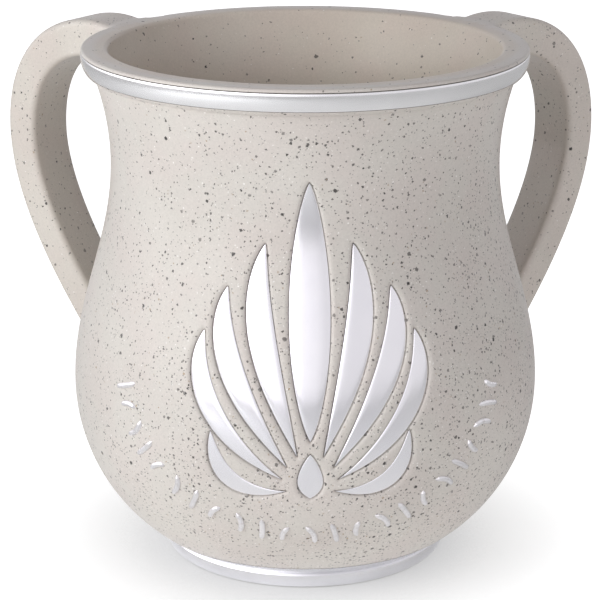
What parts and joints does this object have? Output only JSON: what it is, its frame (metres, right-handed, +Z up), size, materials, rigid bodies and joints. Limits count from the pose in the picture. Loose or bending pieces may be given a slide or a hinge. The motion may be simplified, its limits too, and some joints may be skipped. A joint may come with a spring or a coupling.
{
  "type": "washing cup",
  "caption": "Bellied cup with a flared lip in a metal band, a metal foot band, strap handles splayed to the back and a palmette of metal leaves on the front, standing on a flat foot.",
  "frame": {"origin": "on the axis of the cup, at its flat underside", "axes": "+Z up, front with the palmette towards -Y, handles towards +X and -X and splayed to +Y"},
  "size_m": [0.167, 0.1256, 0.1397],
  "materials": {
    "stone_resin": "satin, pale warm grey with fine dark speckles",
    "silver": "polished silver"
  },
  "bodies": {
    "root": {"cup": "stone_resin", "lip_band_front": "silver", "lip_band_back": "silver", "foot_band": "silver", "palmette_bud": "silver", "palmette_leaf_centre": "silver", "palmette_leaf_1_left": "silver", "palmette_leaf_1_right": "silver", "palmette_leaf_2_left": "silver", "palmette_leaf_2_right": "silver", "palmette_leaf_3_left": "silver", "palmette_leaf_3_right": "silver", "palmette_leaf_4_left": "silver", "palmette_leaf_4_right": "silver"}
  },
  "joints": []
}
